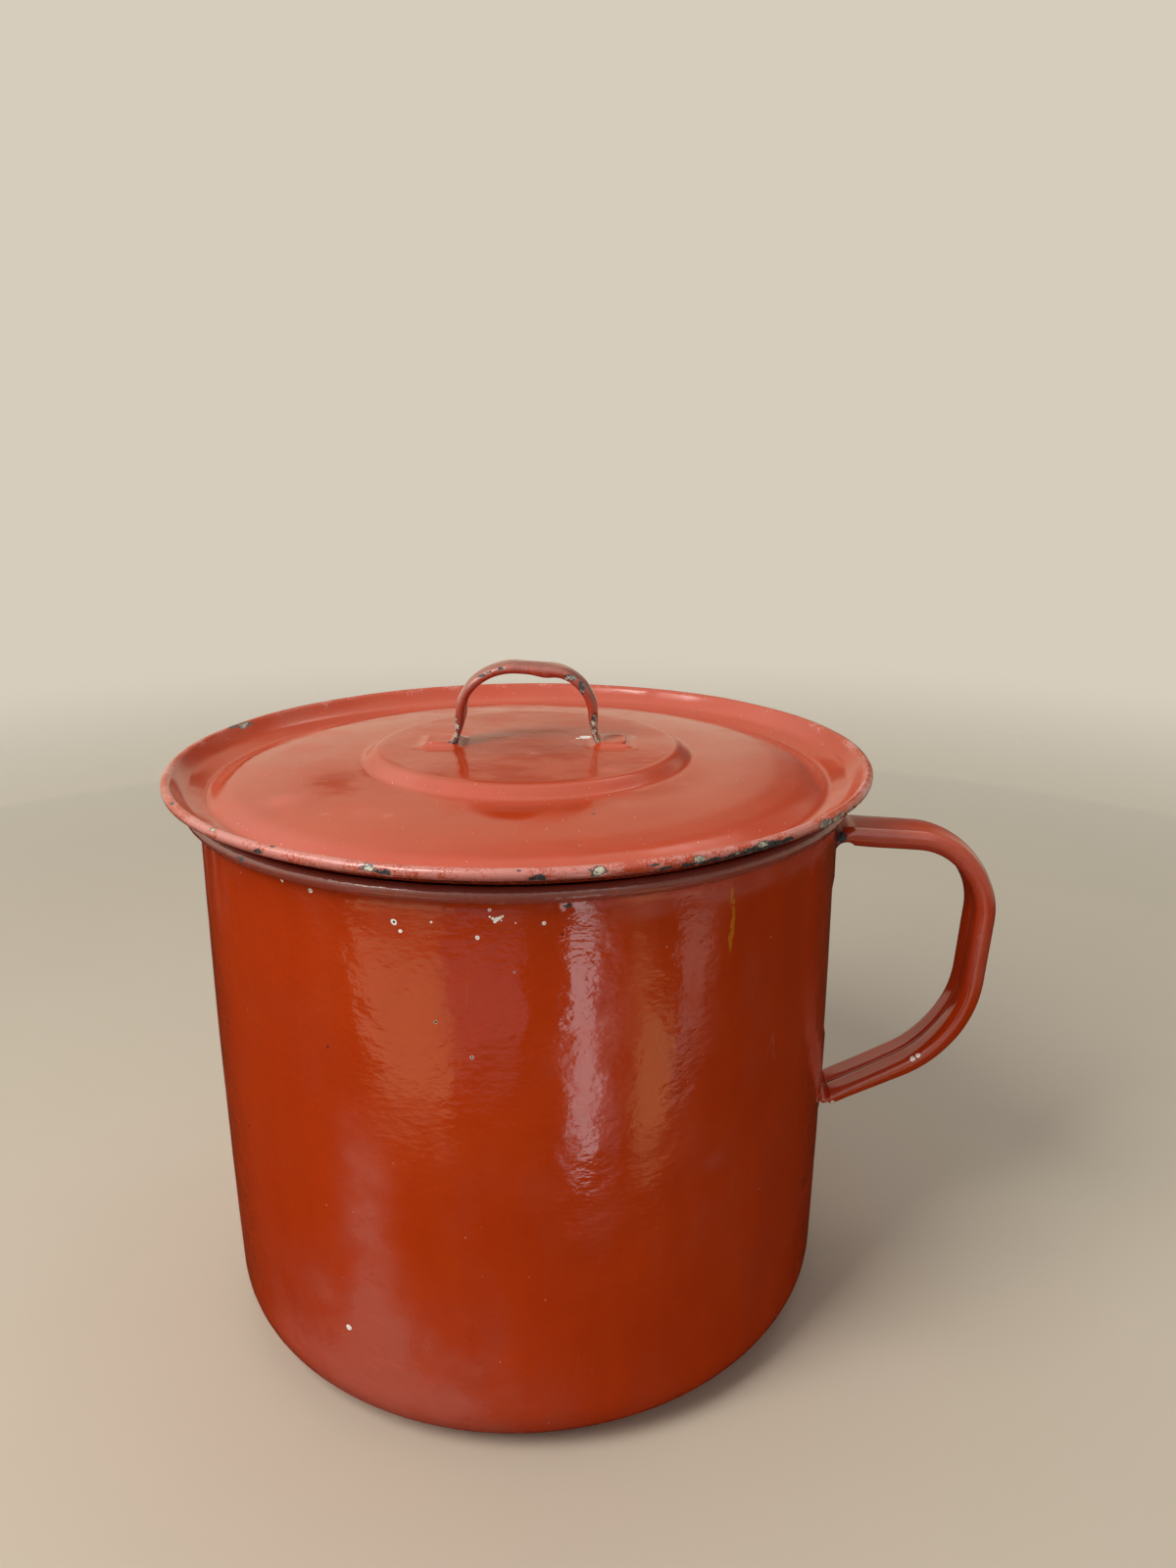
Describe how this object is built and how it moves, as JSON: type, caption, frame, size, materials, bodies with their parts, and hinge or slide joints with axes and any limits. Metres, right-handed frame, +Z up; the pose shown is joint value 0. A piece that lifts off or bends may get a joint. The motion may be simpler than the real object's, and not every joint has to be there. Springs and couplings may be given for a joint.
{
  "type": "enamelled steel pot with side handle and lid",
  "caption": "Straight-walled enamelled steel cooking pot with a rolled rim, a rolled strap handle on its side and a stamped lid that lifts off by its loop handle.",
  "frame": {"origin": "middle of the flat face that the pot stands on", "axes": "+Z up along the pot's axis, +X towards the side handle"},
  "size_m": [0.2398, 0.1988, 0.1923],
  "materials": {
    "pot_enamel": "glossy red vitreous enamel on pressed steel, chipped at the rim, pale enamel inside",
    "handle_enamel": "glossy red vitreous enamel on rolled steel strip",
    "lid_enamel": "glossy red vitreous enamel on pressed steel, worn and chipped along the curled edge",
    "lid_handle_enamel": "red vitreous enamel worn to dark steel along the folded edges"
  },
  "bodies": {
    "pot": {"pot_body": "pot_enamel", "side_handle": "handle_enamel"},
    "lid": {"lid_shell": "lid_enamel", "lid_handle": "lid_handle_enamel"}
  },
  "joints": [
    {"name": "lid_lift", "type": "slide", "parent": "pot", "child": "lid", "axis": [0, 0, 1], "range_m": [0, 0.15]}
  ]
}
